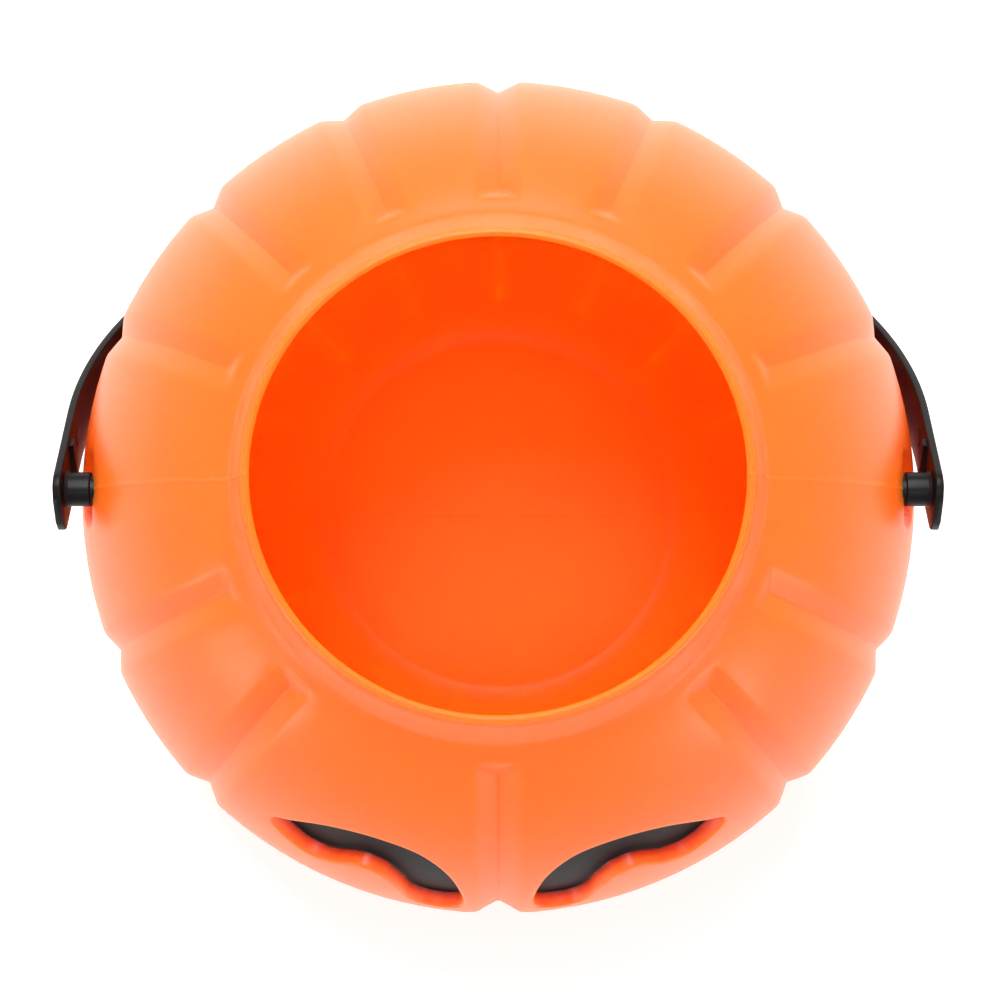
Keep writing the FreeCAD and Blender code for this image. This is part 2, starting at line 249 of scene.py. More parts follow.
def outer_section(shell):
    """Outer half section from the middle of the base to the trimmed edge, as radius and height."""
    foot = shell.foot_radius
    push = shell.base_push
    low_centre = shell.belly_radius - shell.lower_arc
    start = 4.0 * MM
    low_angle = math.asin((shell.belly_height - start) / shell.lower_arc)
    base = rounded([
        (0.0, push), (foot - 8 * MM, push), (foot - 2.6 * MM, 0.5 * MM), (foot - 1.2 * MM, 0.0),
        (foot + 0.8 * MM, 0.0), (foot + 2.4 * MM, 1.4 * MM),
        (low_centre + shell.lower_arc * math.cos(low_angle), start)],
        (4 * MM, 1.5 * MM, 1.2 * MM, 1.2 * MM, 1.5 * MM), 4)
    base = np.concatenate([np.stack([np.linspace(0, base[1][0], 12)[:-1], np.full(11, push)], 1), base[1:]])
    lower = arc_points(low_centre, shell.belly_height, shell.lower_arc, -low_angle, 0.0)
    centre = shell.belly_radius - shell.shoulder_arc
    root = shell.neck_root
    top_angle = math.acos((root + 1.5 * MM - centre) / shell.shoulder_arc)
    upper = arc_points(centre, shell.belly_height, shell.shoulder_arc, 0.0, top_angle)
    root_height = shoulder_height(shell, root)
    neck = rounded([
        upper[-1], (root, root_height + 0.2 * MM), (shell.neck_top + 0.9 * MM, shell.rim_height - 5 * MM),
        (shell.neck_top, shell.rim_height - 1 * MM), (shell.neck_top - 0.1 * MM, shell.rim_height)],
        (1.3 * MM, 6 * MM, 1 * MM), 6)
    return np.concatenate([base, lower, upper, resampled(neck, 0.9 * MM)[1:]])


def inner_section(shell, path, normal):
    """Half section of the inner wall: the outer wall moved inwards, with a soft corner above the foot."""
    moved = path - normal * shell.wall
    above = moved[path[:, 1] > 18 * MM]
    height = shell.base_push + shell.wall
    foot = shell.foot_radius
    low = rounded([(0.0, height), (foot - 4 * MM, height), (foot - 1 * MM, height - 0.25 * MM),
                   (foot + 3 * MM, height + 1 * MM), above[0]], (4 * MM, 5 * MM, 24 * MM), 6)
    floor = np.stack([np.linspace(0.0, low[1][0], 12)[:-1], np.full(11, low[0][1])], 1)
    return np.concatenate([floor, low[1:], above[1:]])


def section_normals(path):
    """Unit normals of the half section, pointing out of the pail."""
    ahead = np.gradient(path, axis=0)
    ahead /= np.linalg.norm(ahead, axis=1)[:, None]
    normal = np.stack([ahead[:, 1], -ahead[:, 0]], 1)
    normal[0] = (0.0, -1.0)
    return normal


def arc_lengths(path, shell):
    """Length along the section, zero at the belly and growing upwards."""
    along = np.concatenate([[0.0], np.cumsum(np.linalg.norm(np.diff(path, axis=0), axis=1))])
    belly = int(np.argmin(np.abs(path[:, 1] - shell.belly_height) + (path[:, 0] < 80 * MM)))
    return along - along[belly]


# ------------------------------------------------------------------ the face

def eye_outline():
    """The pail's left eye (+X side) as across and up in the front view."""
    points = [(55.8, 124.2), (50.5, 129.5), (41.0, 135.0), (30.0, 137.5), (19.0, 136.0), (12.0, 129.0),
              (9.0, 117.5), (9.8, 109.0), (13.0, 106.2), (18.5, 106.4), (22.4, 110.5), (24.8, 117.5),
              (28.6, 123.2), (33.4, 124.6), (37.6, 122.6), (41.8, 119.6), (48.4, 118.2)]
    return smooth_loop(points, 8)


def nose_outline():
    points = [(-3.2, 104.5), (-11.5, 90.0), (-9.0, 86.5), (9.0, 86.5), (11.5, 90.0), (3.2, 104.5)]
    return corner_loop(points, (2.2, 2.6, 2.6, 2.6, 2.6, 2.2))


def mouth_outline():
    half = [(58.0, 76.0), (31.0, 66.5), (9.5, 64.0), (9.5, 55.5)]
    lower = [(12.5, 38.0), (14.5, 47.5), (29.0, 50.5), (33.0, 43.0)]
    points = ([(-x, z) for x, z in half] + [(x, z) for x, z in reversed(half)]
              + [(x, z) for x, z in reversed(lower)] + [(-x, z) for x, z in lower])
    return corner_loop(points, [1.9] * len(points))


def smooth_loop(points, steps):
    """Closed Catmull-Rom curve through the points, in metres."""
    p = np.array(points, float) * MM
    out = []
    n = len(p)
    for i in range(n):
        a, b, c, d = (p[(i + k) % n] for k in (-1, 0, 1, 2))
        for t in np.arange(steps) / steps:
            out.append(0.5 * (2 * b + (c - a) * t + (2 * a - 5 * b + 4 * c - d) * t * t
                              + (3 * b - a - 3 * c + d) * t ** 3))
    return np.array(out)


def corner_loop(points, radii):
    """Closed polygon with rounded corners, in metres."""
    p = np.array(points, float) * MM
    start = (p[0] + p[-1]) / 2
    path = rounded([start] + list(p) + [start], [r * MM for r in radii], 6)
    return path[:-1]


class Face:
    """The recess outlines laid on the shell: across is the belly arc, along is the section's length."""

    def __init__(self, shell, path, along):
        self.radius = shell.belly_radius
        self.depth = shell.recess_depth
        keep = (path[:, 1] > 8 * MM) & (path[:, 0] > 60 * MM) & (path[:, 1] < 158 * MM)
        self.heights = path[keep, 1]
        self.radii = path[keep, 0]
        self.along = along[keep]
        eye = eye_outline()
        mirror = eye[::-1] * np.array([-1.0, 1.0])
        self.outlines = {
            "left_eye": self.laid(eye), "right_eye": self.laid(mirror),
            "nose": self.laid(nose_outline()), "mouth": self.laid(mouth_outline()),
        }

    def laid(self, outline):
        """Front-view outline to the shell's own lengths, evenly spaced and counter-clockwise."""
        radius = np.interp(outline[:, 1], self.heights, self.radii)
        across = np.arcsin(np.clip(outline[:, 0] / radius, -1, 1)) * self.radius
        up = np.interp(outline[:, 1], self.heights, self.along)
        loop = np.stack([across, up], 1)
        area = np.sum(loop[:, 0] * np.roll(loop[:, 1], -1) - np.roll(loop[:, 0], -1) * loop[:, 1])
        if area < 0:
            loop = loop[::-1]
        closed = np.concatenate([loop, loop[:1]])
        return resampled(closed, 0.85 * MM)[:-1]

    def distance(self, points):
        """Signed distance to the nearest outline, negative inside."""
        best = np.full(len(points), 1.0)
        for a in self.outlines.values():
            b = np.roll(a, -1, 0)
            ab = b - a
            ap = points[:, None, :] - a[None]
            t = np.clip((ap * ab[None]).sum(2) / (ab * ab).sum(1)[None], 0, 1)
            gap = np.linalg.norm(ap - t[..., None] * ab[None], axis=2).min(1)
            px, py = points[:, 0][:, None], points[:, 1][:, None]
            crosses = (a[:, 1] > py) != (b[:, 1] > py)
            slope = (px < (b[:, 0] - a[:, 0]) * (py - a[:, 1]) / (b[:, 1] - a[:, 1] + 1e-12) + a[:, 0])
            inside = (crosses & slope).sum(1) % 2 == 1
            best = np.minimum(best, np.where(inside, -gap, gap))
        return best

    def rings(self):
        """Distance and depth of each ring of the recess edge: rounded lip, drafted wall, rounded foot."""
        lip, draft, bowl = 1.0 * MM, 0.3 * MM, 0.9 * MM
        out = []
        for k in (1.0, 0.72, 0.45, 0.2, 0.04):
            out.append((lip * k, lip - math.sqrt(lip ** 2 - (lip - lip * k) ** 2)))
        for k in (0.0, 0.2, 0.45, 0.7, 1.0):
            depth = self.depth - bowl + math.sqrt(bowl ** 2 - (bowl - bowl * k) ** 2)
            out.append((-draft - bowl * k, depth))
        return out

    def offset(self, loop, gap):
        """The loop moved outwards by a gap."""
        ahead = np.roll(loop, -1, 0) - np.roll(loop, 1, 0)
        ahead /= np.linalg.norm(ahead, axis=1)[:, None]
        return loop + np.stack([ahead[:, 1], -ahead[:, 0]], 1) * gap


# ------------------------------------------------------------------ the shell's mesh

def column_angles(shell, groove_side, seam_side, wide):
    """Angles of the mesh's columns, clockwise from the back seen from above: close together at each
    groove and at the two mould seams."""
    places = [(math.radians(turn), groove_side) for turn, _ in GROOVES]
    places += [(math.radians(turn), seam_side) for turn in SEAMS]
    places.sort(key=lambda place: place[0])
    turns = []
    for i, (here, side) in enumerate(places):
        after, next_side = places[(i + 1) % len(places)]
        after += 2 * math.pi if after <= here else 0.0
        start = here + np.array(side) * MM / shell.belly_radius
        end = after - np.array(next_side)[::-1] * MM / shell.belly_radius
        count = max(1, int(round((end[0] - start[-1]) * shell.belly_radius / wide)))
        turns += list(start) + list(start[-1] + (end[0] - start[-1]) * np.arange(1, count) / count)
        turns += list(end[:-1])
    return np.array(turns)


def groove_facts(shell, turn, radius, along, top, bottom):
    """Signed distance to the nearest groove line, that groove's depth, and the room left to its end."""
    gap = np.full(turn.shape, 1.0)
    depth = np.zeros(turn.shape)
    for place, deep in GROOVES:
        away = (turn - math.radians(place) + math.pi) % (2 * math.pi) - math.pi
        away = np.abs(away) * np.maximum(radius, 1 * MM)
        nearer = away < gap
        gap = np.where(nearer, away, gap)
        depth = np.where(nearer, deep, depth)
    room = np.minimum(top - along, along - bottom)
    return gap, depth, room


class ShellBuilder:
    """Collects the outer wall, the face patch and the inner wall of the shell into one closed mesh."""

    def __init__(self, shell):
        self.shell = shell
        self.path = outer_section(shell)
        self.normal = section_normals(self.path)
        self.along = arc_lengths(self.path, shell)
        self.inside = inner_section(shell, self.path, self.normal)
        self.face = Face(shell, self.path, self.along)
        self.turns = column_angles(
            shell, (0.0, 0.45, 1.0, 1.7, 2.5, 3.4, 4.3, 5.2, 6.2, 7.4, 9.0),
            (0.0, 0.25, 0.6, 1.2, 2.2, 3.4, 4.8, 6.2, 7.6, 8.6, 9.4, 10.2, 11.4), 5.4 * MM)
        self.inner_turns = column_angles(shell, (0.0, 1.2, 2.8, 4.6, 6.8, 9.5),
                                         (0.0, 0.3, 0.7, 2.0, 5.0, 8.5, 10.5, 12.5), 3.8 * MM)
        heights = self.path[:, 1]
        shoulder = np.where((heights > 140 * MM) & (self.path[:, 0] < 68.0 * MM))[0][0]
        foot = np.where((heights < 30 * MM) & (self.path[:, 0] > 62.0 * MM))[0][0]
        self.groove_top = self.along[shoulder]
        self.groove_bottom = self.along[foot]
        self.points = []
        self.facts = {"gap": [], "groove": [], "room": [], "recess": [], "soft": [], "spray_and_shade": [],
                      "in_x": [], "in_y": [], "in_z": []}
        self.faces = []
        self.patch_faces = []

    def add_points(self, turn, path, normal, along, recess, inside, spray_and_shade):
        """Adds points given by turn about the axis and place on the section; returns their numbers."""
        shell = self.shell
        x = np.sin(turn)
        y = np.cos(turn)
        seam = np.clip(1.0 - np.abs(y) * path[:, 0] / shell.seam_half, 0, 1) * shell.seam_height
        base = path - normal * (0.3 * seam if inside else -seam)[:, None]
        squeeze = 1.0 - 0.036 * smooth_step((path[:, 1] - 156 * MM) / (14 * MM)) * (path[:, 0] < 70 * MM)
        first = len(self.points)
        places = np.stack([base[:, 0] * x, base[:, 0] * y * squeeze, base[:, 1]], 1)
        self.points += list(self.padded(places, shell.wall if inside else 0.0))
        gap, depth, room = groove_facts(shell, turn, path[:, 0], along, self.groove_top, self.groove_bottom)
        facts = {"gap": gap, "groove": depth, "room": room, "recess": recess, "spray_and_shade": spray_and_shade,
                 "soft": np.full(len(turn), float(inside)),
                 "in_x": -normal[:, 0] * x, "in_y": -normal[:, 0] * y, "in_z": -normal[:, 1]}
        for key, values in facts.items():
            self.facts[key] += list(values)
        return np.arange(first, first + len(turn))

    def padded(self, places, inset):
        """Presses the round flats that the strap's studs run on into both side walls."""
        shell = self.shell
        reach = np.hypot(places[:, 1] - STUD_AXIS.y, places[:, 2] - STUD_AXIS.z)
        share = 1.0 - smooth_step((reach - shell.pad_radius - inset + 0.9 * MM) / (1.8 * MM))
        proud = np.maximum(np.abs(places[:, 0]) - shell.pad_face + inset, 0.0)
        places[:, 0] -= np.sign(places[:, 0]) * share * proud
        return places

    def grid(self, section, turns, inside, recess_of):
        """Rows by columns of points, for every row of the section but the first."""
        n = len(turns)
        normals = section_normals(section)
        lengths = arc_lengths(section, self.shell)
        numbers = []
        for place, normal, reach in list(zip(section, normals, lengths))[1:]:
            along = np.full(n, reach)
            numbers.append(self.add_points(turns, np.tile(place, (n, 1)), np.tile(normal, (n, 1)), along,
                                           recess_of(turns, along), inside, np.zeros(n)))
        return np.array(numbers)

    def quads(self, numbers, flip, skip=None):
        """Joins rows of point numbers with four-sided faces, leaving out those that skip names."""
        rows, columns = numbers.shape
        for i in range(rows - 1):
            for j in range(columns):
                if skip is not None and skip(i, j):
                    continue
                k = (j + 1) % columns
                quad = (numbers[i, j], numbers[i, k], numbers[i + 1, k], numbers[i + 1, j])
                self.faces.append(quad if flip else quad[::-1])

    def cap(self, ring, height, flip, inside):
        """Closes a ring at the axis."""
        path = np.array([[0.0, height]])
        centre = self.add_points(np.zeros(1), path, np.array([[0.0, -1.0]]), np.array([self.along[0]]),
                                 np.zeros(1), inside, np.zeros(1))[0]
        n = len(ring)
        for j in range(n):
            tri = (ring[j], centre, ring[(j + 1) % n])
            self.faces.append(tri if flip else tri[::-1])

    def soft_recess(self, turns, along):
        """The recess as the back of the wall shows it, with wide rounded edges."""
        away = (2 * math.pi - turns) % (2 * math.pi) - math.pi
        near = np.abs(away) < 0.8
        depth = np.zeros(len(turns))
        if near.any():
            points = np.stack([away * self.shell.belly_radius, along], 1)[near]
            signed = self.face.distance(points)
            depth[near] = self.shell.recess_depth * smooth_step((4.2 * MM - signed) / (4.2 * MM))
        return depth

    def build(self):
        """Makes the outer wall with its face patch, the inner wall, the trimmed edge and both caps."""
        shell = self.shell
        rows = np.arange(1, len(self.path))
        outer = self.grid(self.path, self.turns, False, lambda turns, along: np.zeros(len(turns)))
        margin = math.radians(38.5)
        columns = np.where(np.abs(self.turns - math.pi) < margin)[0]
        heights = self.path[:, 1]
        belt = [i for i, row in enumerate(rows)
                if 32 * MM < heights[row] < 144 * MM and self.path[row][0] > 70 * MM]
        i0, i1 = belt[0], belt[-1]
        j0, j1 = columns[0], columns[-1]
        self.quads(outer, False, lambda i, j: i0 <= i < i1 and j0 <= j < j1)
        self.patch(outer, rows, i0, i1, j0, j1)

        kept = thinned(self.inside, 2.6 * MM, 0.9 * MM, shell.rim_height - 16 * MM)
        inner = self.grid(kept, self.inner_turns, True, self.soft_recess)
        self.quads(inner, True)
        self.lip(outer[-1], self.turns, inner[-1], self.inner_turns)
        self.cap(outer[0], self.path[0, 1], False, False)
        self.cap(inner[0], self.inside[0, 1], True, True)

    def lip(self, outside, out_turns, inside, in_turns):
        """Trimmed edge: a strip of triangles between two rings with different columns."""
        n, m = len(outside), len(inside)
        out_ends = np.append(out_turns[1:], 2 * math.pi)
        in_ends = np.append(in_turns[1:], 2 * math.pi)
        i = j = 0
        while i < n or j < m:
            if j == m or (i < n and out_ends[i] <= in_ends[j]):
                self.faces.append((inside[j % m], outside[(i + 1) % n], outside[i]))
                i += 1
            else:
                self.faces.append((inside[j], inside[(j + 1) % m], outside[i % n]))
                j += 1

    def patch(self, outer, rows, i0, i1, j0, j1):
        """Face patch: grid points away from the outlines, rings along them, joined by triangles."""
        shell = self.shell
        face = self.face
        across = (math.pi - self.turns[j0:j1 + 1] % (2 * math.pi)) * shell.belly_radius
        along = self.along[rows[i0:i1 + 1]]
        grid = np.stack(np.meshgrid(across, along), 2).reshape(-1, 2)
        signed = face.distance(grid)
        n_columns = j1 - j0 + 1
        index = np.arange(len(grid))
        row_of, column_of = np.divmod(index, n_columns)
        edge = (row_of == 0) | (row_of == i1 - i0) | (column_of == 0) | (column_of == n_columns - 1)
        rings = face.rings()
        keep = edge | (signed > rings[0][0] + 0.35 * MM) | (signed < rings[-1][0] - 0.35 * MM)
        places = list(grid[keep])
        source = list(index[keep])
        chains = []
        for loop in face.outlines.values():
            for gap, _ in rings:
                moved = face.offset(loop, gap)
                first = len(places)
                places += list(moved)
                source += [-1] * len(moved)
                chains += [(first + k, first + (k + 1) % len(moved)) for k in range(len(moved))]
        flat = [Vector((p[0], p[1])) for p in places]
        spots, _, triangles, origins, _, _ = delaunay_2d_cdt(flat, chains, [], 0, 1e-9, True)
        spots = np.array([(s.x, s.y) for s in spots])
        start = [o[0] if o else -1 for o in origins]
        table = sorted(rings)
        deep = np.interp(face.distance(spots), [gap for gap, _ in table], [depth for _, depth in table])
        # Black mask on the recess walls that rises with depth: partly paint overspray at the wall's foot,
        # partly painted shade in the recesses.
        paint_and_shade = smooth_step((deep - 0.48 * face.depth) / (0.46 * face.depth))
        turn = math.pi - spots[:, 0] / shell.belly_radius
        path = np.stack([np.interp(spots[:, 1], self.along, self.path[:, k]) for k in (0, 1)], 1)
        normal = np.stack([np.interp(spots[:, 1], self.along, self.normal[:, k]) for k in (0, 1)], 1)
        fresh = self.add_points(turn, path, normal, spots[:, 1], deep, False, paint_and_shade)
        number = fresh.copy()
        for k, o in enumerate(start):
            if o >= 0 and source[o] >= 0 and edge[source[o]]:
                i, j = divmod(source[o], n_columns)
                number[k] = outer[i0 + i, j0 + j]
        for tri in triangles:
            a, b, c = (spots[t] for t in tri)
            if abs((b - a)[0] * (c - a)[1] - (b - a)[1] * (c - a)[0]) < 1e-13:
                continue
            loop = tuple(number[t] for t in tri)
            self.faces.append(loop)
            if all(deep[t] > 0.9 * face.depth for t in tri):
                self.patch_faces.append((loop, float(np.mean(spots[list(tri), 0])),
                                         float(np.mean(spots[list(tri), 1]))))


def lobe_tree():
    """Geometry Nodes tree that presses the grooves and recesses into the shell."""
    tree = bpy.data.node_groups.new("Pressed grooves", "GeometryNodeTree")
    face = tree.interface
    face.new_socket("Geometry", in_out="INPUT", socket_type="NodeSocketGeometry")
    for name in ("Half width", "Edge round", "Ramp", "Inner round"):
        face.new_socket(name, in_out="INPUT", socket_type="NodeSocketFloat")
    face.new_socket("Finish", in_out="INPUT", socket_type="NodeSocketMaterial")
    face.new_socket("Geometry", in_out="OUTPUT", socket_type="NodeSocketGeometry")
    ports = add_node(tree, "NodeGroupInput").outputs

    def named(key):
        node = add_node(tree, "GeometryNodeInputNamedAttribute", {"data_type": "FLOAT", "Name": key})
        return node.outputs[0]

    def maths(operation, *values):
        node = add_node(tree, "ShaderNodeMath", {"operation": operation})
        for place, value in enumerate(values):
            if isinstance(value, (int, float)):
                node.inputs[place].default_value = value
            else:
                tree.links.new(value, node.inputs[place])
        return node.outputs[0]

    side = maths("SUBTRACT", 1.0, maths("DIVIDE", named("gap"), ports["Half width"]))
    end = maths("DIVIDE", named("room"), ports["Ramp"])
    round_share = maths("ADD", ports["Edge round"], maths("MULTIPLY", named("soft"), ports["Inner round"]))
    hip = maths("SMOOTH_MIN", side, end, 0.04)
    share = maths("SMOOTH_MAX", hip, 0.0, round_share)
    lift = maths("SMOOTH_MAX", -10.0, 0.0, round_share)
    share = maths("SMOOTH_MIN", maths("SUBTRACT", share, lift),
                  maths("ADD", 1.0, maths("MULTIPLY", named("soft"), -0.1)), 0.13)
    groove = maths("MULTIPLY", share, named("groove"))
    depth = maths("MAXIMUM", groove, named("recess"))
    inward = add_node(tree, "ShaderNodeCombineXYZ",
                      links={"X": named("in_x"), "Y": named("in_y"), "Z": named("in_z")})
    move = add_node(tree, "ShaderNodeVectorMath", {"operation": "SCALE"},
                    {0: inward.outputs[0], "Scale": depth})
    pressed = add_node(tree, "GeometryNodeSetPosition",
                       links={"Geometry": ports["Geometry"], "Offset": move.outputs[0]})
    real = add_node(tree, "GeometryNodeRealizeInstances", links={"Geometry": pressed.outputs[0]})
    coated = add_node(tree, "GeometryNodeSetMaterial",
                      links={"Geometry": real.outputs[0], "Material": ports["Finish"]})
    add_node(tree, "NodeGroupOutput", links={"Geometry": coated.outputs[0]})
    return tree


def apply_tree(piece, tree, values):
    """Runs a Geometry Nodes tree on the piece and keeps the result as a plain mesh."""
    modifier = piece.modifiers.new(tree.name, "NODES")
    modifier.node_group = tree
    for socket in tree.interface.items_tree:
        if socket.in_out == "INPUT" and socket.name in values:
            modifier[socket.identifier] = values[socket.name]
    bpy.context.view_layer.update()
    graph = bpy.context.evaluated_depsgraph_get()
    result = bpy.data.meshes.new_from_object(piece.evaluated_get(graph))
    piece.modifiers.remove(modifier)
    old = piece.data
    piece.data = result
    bpy.data.meshes.remove(old)
    return piece


# ------------------------------------------------------------------ materials

def moulded_orange(finish):
    """Blow-moulded polyethylene: slightly translucent, satin outside and duller inside, with a fine
    blasted mould texture, and black towards the foot of the recess walls: partly paint overspray, partly
    painted shade fading up the walls."""
    material, tree = new_material("blow_moulded_polyethylene")
    place = add_node(tree, "ShaderNodeTexCoord").outputs["Object"]
    cloud = add_node(tree, "ShaderNodeTexNoise", {"Scale": 28.0, "Detail": 3.0}, {"Vector": place})
    orange = linear(finish.orange)
    tone = add_node(tree, "ShaderNodeMix", {"data_type": "RGBA", "blend_type": "MIX"},
                    {"Factor": cloud.outputs["Fac"]})
    tone.inputs[6].default_value = [c * 0.965 for c in orange[:3]] + [1.0]
    tone.inputs[7].default_value = [min(1.0, c * 1.03) for c in orange[:3]] + [1.0]
    # The paint colour is mixed in by the recess-depth mask: real overspray at the walls' foot plus painted
    # shade fading up the recess walls.
    spray_and_shade = add_node(tree, "ShaderNodeAttribute", {"attribute_name": "spray_and_shade"})
    speck = add_node(tree, "ShaderNodeTexNoise", {"Scale": 1100.0, "Detail": 2.0}, {"Vector": place})
    reach = add_node(tree, "ShaderNodeMath", {"operation": "MULTIPLY_ADD", 1: 0.16, 2: -0.08},
                     {0: speck.outputs["Fac"]})
    speckled_spray_and_shade = add_node(tree, "ShaderNodeMath", {"operation": "ADD", "use_clamp": True},
                      {0: spray_and_shade.outputs["Fac"], 1: reach.outputs[0]})
    edge = add_node(tree, "ShaderNodeMapRange", {"From Min": 0.15, "From Max": 0.9},
                    {"Value": speckled_spray_and_shade.outputs[0]})
    painted = add_node(tree, "ShaderNodeMix", {"data_type": "RGBA"},
                       {"Factor": edge.outputs[0], 6: tone.outputs[2]})
    painted.inputs[7].default_value = linear(finish.paint)
    grain = add_node(tree, "ShaderNodeTexNoise", {"Scale": 1400.0, "Detail": 2.0}, {"Vector": place})
    wave = add_node(tree, "ShaderNodeTexNoise", {"Scale": 90.0, "Detail": 2.0}, {"Vector": place})
    coarse = add_node(tree, "ShaderNodeBump", {"Strength": 0.35, "Distance": 0.0002},
                      {"Height": wave.outputs["Fac"]})
    fine = add_node(tree, "ShaderNodeBump", {"Strength": 0.22, "Distance": 0.00005},
                    {"Height": grain.outputs["Fac"], "Normal": coarse.outputs[0]})
    rough = add_node(tree, "ShaderNodeMapRange", {"To Min": 0.35, "To Max": 0.43},
                     {"Value": cloud.outputs["Fac"]})
    hidden = add_node(tree, "ShaderNodeAttribute", {"attribute_name": "soft"})
    gloss = add_node(tree, "ShaderNodeMapRange", {"To Min": 0.36, "To Max": 0.1},
                     {"Value": hidden.outputs["Fac"]})
    shader = add_node(tree, "ShaderNodeBsdfPrincipled",
                      {"IOR": 1.51, "Subsurface Weight": 0.85, "Subsurface Radius": (1.0, 0.36, 0.12),
                       "Subsurface Scale": 0.014},
                      {"Base Color": painted.outputs[2], "Roughness": rough.outputs[0],
                       "Specular IOR Level": gloss.outputs[0], "Normal": fine.outputs[0]})
    finish_material(tree, shader)
    return material


def moulded_black(finish):
    """Injection-moulded polyethylene: black, satin, with faint flow marks."""
    material, tree = new_material("injection_moulded_polyethylene")
    place = add_node(tree, "ShaderNodeTexCoord").outputs["Object"]
    cloud = add_node(tree, "ShaderNodeTexNoise", {"Scale": 120.0, "Detail": 3.0}, {"Vector": place})
    black = linear(finish.black)
    tone = add_node(tree, "ShaderNodeMix", {"data_type": "RGBA"}, {"Factor": cloud.outputs["Fac"]})
    tone.inputs[6].default_value = [c * 0.7 for c in black[:3]] + [1.0]
    tone.inputs[7].default_value = [c * 1.6 for c in black[:3]] + [1.0]
    rough = add_node(tree, "ShaderNodeMapRange", {"To Min": 0.3, "To Max": 0.48},
                     {"Value": cloud.outputs["Fac"]})
    grain = add_node(tree, "ShaderNodeTexNoise", {"Scale": 1500.0, "Detail": 2.0}, {"Vector": place})
    fine = add_node(tree, "ShaderNodeBump", {"Strength": 0.25, "Distance": 0.00005},
                    {"Height": grain.outputs["Fac"]})
    shader = add_node(tree, "ShaderNodeBsdfPrincipled", {"IOR": 1.51, "Specular IOR Level": 0.15},
                      {"Base Color": tone.outputs[2], "Roughness": rough.outputs[0],
                       "Normal": fine.outputs[0]})
    finish_material(tree, shader)
    return material


def sprayed_paint(finish):
    """Matt black spray paint: rough, with a fine dry texture that lightens it a little."""
    material, tree = new_material("sprayed_black_paint")
    place = add_node(tree, "ShaderNodeTexCoord").outputs["Object"]
    speck = add_node(tree, "ShaderNodeTexNoise", {"Scale": 2400.0, "Detail": 3.0}, {"Vector": place})
    black = linear(finish.paint)
    tone = add_node(tree, "ShaderNodeMix", {"data_type": "RGBA"}, {"Factor": speck.outputs["Fac"]})
    tone.inputs[6].default_value = [c * 0.5 for c in black[:3]] + [1.0]
    tone.inputs[7].default_value = [c * 2.2 for c in black[:3]] + [1.0]
    fine = add_node(tree, "ShaderNodeBump", {"Strength": 0.5, "Distance": 0.00008},
                    {"Height": speck.outputs["Fac"]})
    shader = add_node(tree, "ShaderNodeBsdfPrincipled",
                      {"IOR": 1.5, "Specular IOR Level": 0.3, "Roughness": 0.62},
                      {"Base Color": tone.outputs[2], "Normal": fine.outputs[0]})
    finish_material(tree, shader)
    return material


def plain_floor(finish):
    """White studio floor, with a very faint paper tone and a little light of its own."""
    material, tree = new_material("studio_floor")
    place = add_node(tree, "ShaderNodeTexCoord").outputs["Object"]
    cloud = add_node(tree, "ShaderNodeTexNoise", {"Scale": 3.0}, {"Vector": place})
    white = linear(finish.floor)
    tone = add_node(tree, "ShaderNodeMix", {"data_type": "RGBA"}, {"Factor": cloud.outputs["Fac"]})
    tone.inputs[6].default_value = white
    tone.inputs[7].default_value = [c * 0.99 for c in white[:3]] + [1.0]
    shader = add_node(tree, "ShaderNodeBsdfPrincipled", {"Roughness": 0.9, "Emission Strength": 0.3},
                      {"Base Color": tone.outputs[2]})
    shader.inputs["Emission Color"].default_value = (1.0, 1.0, 1.0, 1.0)
    finish_material(tree, shader)
    return material


def kept_material(name, maker):
    """The material of that name, made when it is first asked for."""
    return bpy.data.materials.get(name) or maker(bpy.context.scene.treat_pail_finish)


# ------------------------------------------------------------------ operators

class TREATPAIL_OT_shell(bpy.types.Operator):
    """Blow-moulded shell with its lobes, neck, foot and face recesses"""
    bl_idname = "treat_pail.shell"
    bl_label = "Pail Shell"

    def execute(self, context):
        shell = context.scene.treat_pail_shell
        builder = ShellBuilder(shell)
        builder.build()
        orange = kept_material("blow_moulded_polyethylene", moulded_orange)
        piece = new_mesh("pail_shell_moulded", builder.points, builder.faces, orange, builder.facts)
        apply_tree(piece, lobe_tree(), {
            "Half width": shell.groove_half, "Edge round": 0.12, "Ramp": shell.groove_ramp,
            "Inner round": 0.6, "Finish": orange})
        pressed = np.array([v.co for v in piece.data.vertices])
        self.films(context, piece, builder, pressed)
        for key in list(builder.facts):
            if key not in ("spray_and_shade", "soft"):
                layer = piece.data.attributes.get(key)
                if layer is not None:
                    piece.data.attributes.remove(layer)
        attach(piece, "pail")
        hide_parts("pail_shell")
        return {"FINISHED"}

    def films(self, context, piece, builder, pressed):
        """Paint films: the recess floors, given the paint's thickness."""
        shell = context.scene.treat_pail_shell
        paint = kept_material("sprayed_black_paint", sprayed_paint)
        inward = np.stack([builder.facts[k] for k in ("in_x", "in_y", "in_z")], 1)
        for name, loop in builder.face.outlines.items():
            low, high = loop.min(0), loop.max(0)
            faces = [f for f, a, b in builder.patch_faces if low[0] < a < high[0] and low[1] < b < high[1]]
            if not faces:
                raise RuntimeError("no floor found for " + name)
            used = sorted(set(v for f in faces for v in f))
            place = {v: i for i, v in enumerate(used)}
            top = pressed[used] - inward[used] * shell.paint_thick
            back = pressed[used] + inward[used] * 0.05 * MM
            n = len(used)
            loops = [tuple(place[v] for v in f) for f in faces]
            edges = {}
            for f in loops:
                for a, b in zip(f, f[1:] + f[:1]):
                    edges[(a, b)] = True
            sides = [(b, a, a + n, b + n) for a, b in edges if (b, a) not in edges]
            solid = loops + [tuple(v + n for v in reversed(f)) for f in loops] + sides
            film = new_mesh(name + "_paint_film", np.concatenate([top, back]), solid, paint)
            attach(film, "pail")
            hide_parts(name + "_paint")


